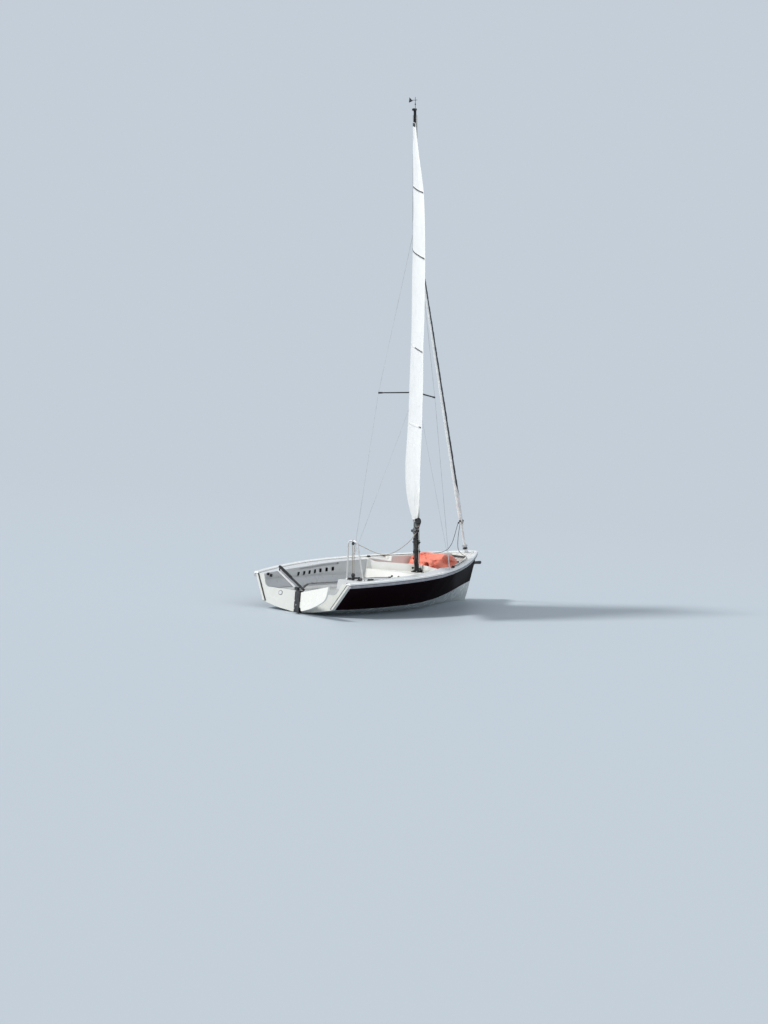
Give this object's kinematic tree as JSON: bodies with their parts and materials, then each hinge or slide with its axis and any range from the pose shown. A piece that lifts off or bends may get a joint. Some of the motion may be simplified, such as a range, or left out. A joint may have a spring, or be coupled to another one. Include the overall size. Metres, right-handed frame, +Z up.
{
  "type": "sailing dinghy",
  "caption": "Open sailing dinghy with a hard-chine hull, open transom, mast, boom, mainsail, furled jib, lifting rudder, centreboard and a sliding bowsprit.",
  "frame": {"origin": "on the waterline and the centreline, at the foot of the transom", "axes": "+X forward, +Y to port, +Z up the rig"},
  "size_m": [5.4616, 2.1898, 6.9559],
  "materials": {
    "aluminium": "anodised",
    "cloth_orange": "matte",
    "fitting_black": "matte",
    "gelcoat_white": "gloss",
    "hull_white": "gloss",
    "moulding_grey": "satin",
    "sailcloth": "matte",
    "spar_black": "satin",
    "stainless": "polished",
    "strake_grey": "matte",
    "topside_dark": "gloss",
    "webbing_black": "matte"
  },
  "bodies": {
    "hull": {"bow_fitting": "stainless", "bowsprit_collar": "fitting_black", "centreboard_case": "moulding_grey", "centreboard_pin": "stainless", "chainplates": "stainless", "cockpit_sole": "moulding_grey", "foredeck": "gelcoat_white", "forestay": "stainless", "furled_jib": "sailcloth", "furler_drum": "fitting_black", "gooseneck": "stainless", "gudgeons": "stainless", "gunwale_port": "gelcoat_white", "gunwale_starboard": "gelcoat_white", "hull_bottom": "hull_white", "kicker_bracket": "spar_black", "mainsheet_block": "fitting_black", "mainsheet_hoop": "stainless", "mast": "spar_black", "mast_step": "spar_black", "mast_thwart": "gelcoat_white", "masthead": "spar_black", "rubbing_strake_port": "strake_grey", "rubbing_strake_starboard": "strake_grey", "shrouds": "stainless", "side_tank_port": "moulding_grey", "side_tank_starboard": "moulding_grey", "spreaders": "spar_black", "stem_cap": "gelcoat_white", "stowed_gennaker": "cloth_orange", "toe_straps": "webbing_black", "topside_port": "topside_dark", "topside_starboard": "topside_dark", "transom": "gelcoat_white", "transom_bungs": "gelcoat_white", "well_net": "webbing_black", "wind_indicator": "fitting_black"},
    "boom": {"boom": "spar_black", "boom_nose": "stainless", "boom_end_cap": "spar_black", "kicker": "fitting_black", "mainsail": "sailcloth"},
    "rudder": {"rudder_stock": "fitting_black", "tiller": "aluminium", "tiller_extension": "fitting_black"},
    "rudder_blade": {"rudder_blade": "gelcoat_white"},
    "centreboard": {"centreboard": "gelcoat_white"},
    "bowsprit": {"bowsprit": "spar_black"}
  },
  "joints": [
    {"name": "rudder_turn", "type": "hinge", "parent": "hull", "child": "rudder", "pos_m": [-0.046, 0, 0.14], "axis": [0, 0, 1], "range_deg": [-120, 4]},
    {"name": "rudder_blade_lift", "type": "hinge", "parent": "rudder", "child": "rudder_blade", "pos_m": [-0.08627, -0.06445, 0.112], "axis": [0.848, -0.5299, 0], "range_deg": [0, 100]},
    {"name": "boom_swing", "type": "hinge", "parent": "hull", "child": "boom", "pos_m": [2.89441, 0, 1.00907], "axis": [-0.1771, 0, 0.9842], "range_deg": [-76, 16]},
    {"name": "centreboard_lower", "type": "hinge", "parent": "hull", "child": "centreboard", "pos_m": [2.44, 0, -0.04], "axis": [0, -1, 0], "range_deg": [0, 80]},
    {"name": "bowsprit_slide", "type": "slide", "parent": "hull", "child": "bowsprit", "axis": [1, 0, 0], "range_m": [0, 0.9]}
  ]
}
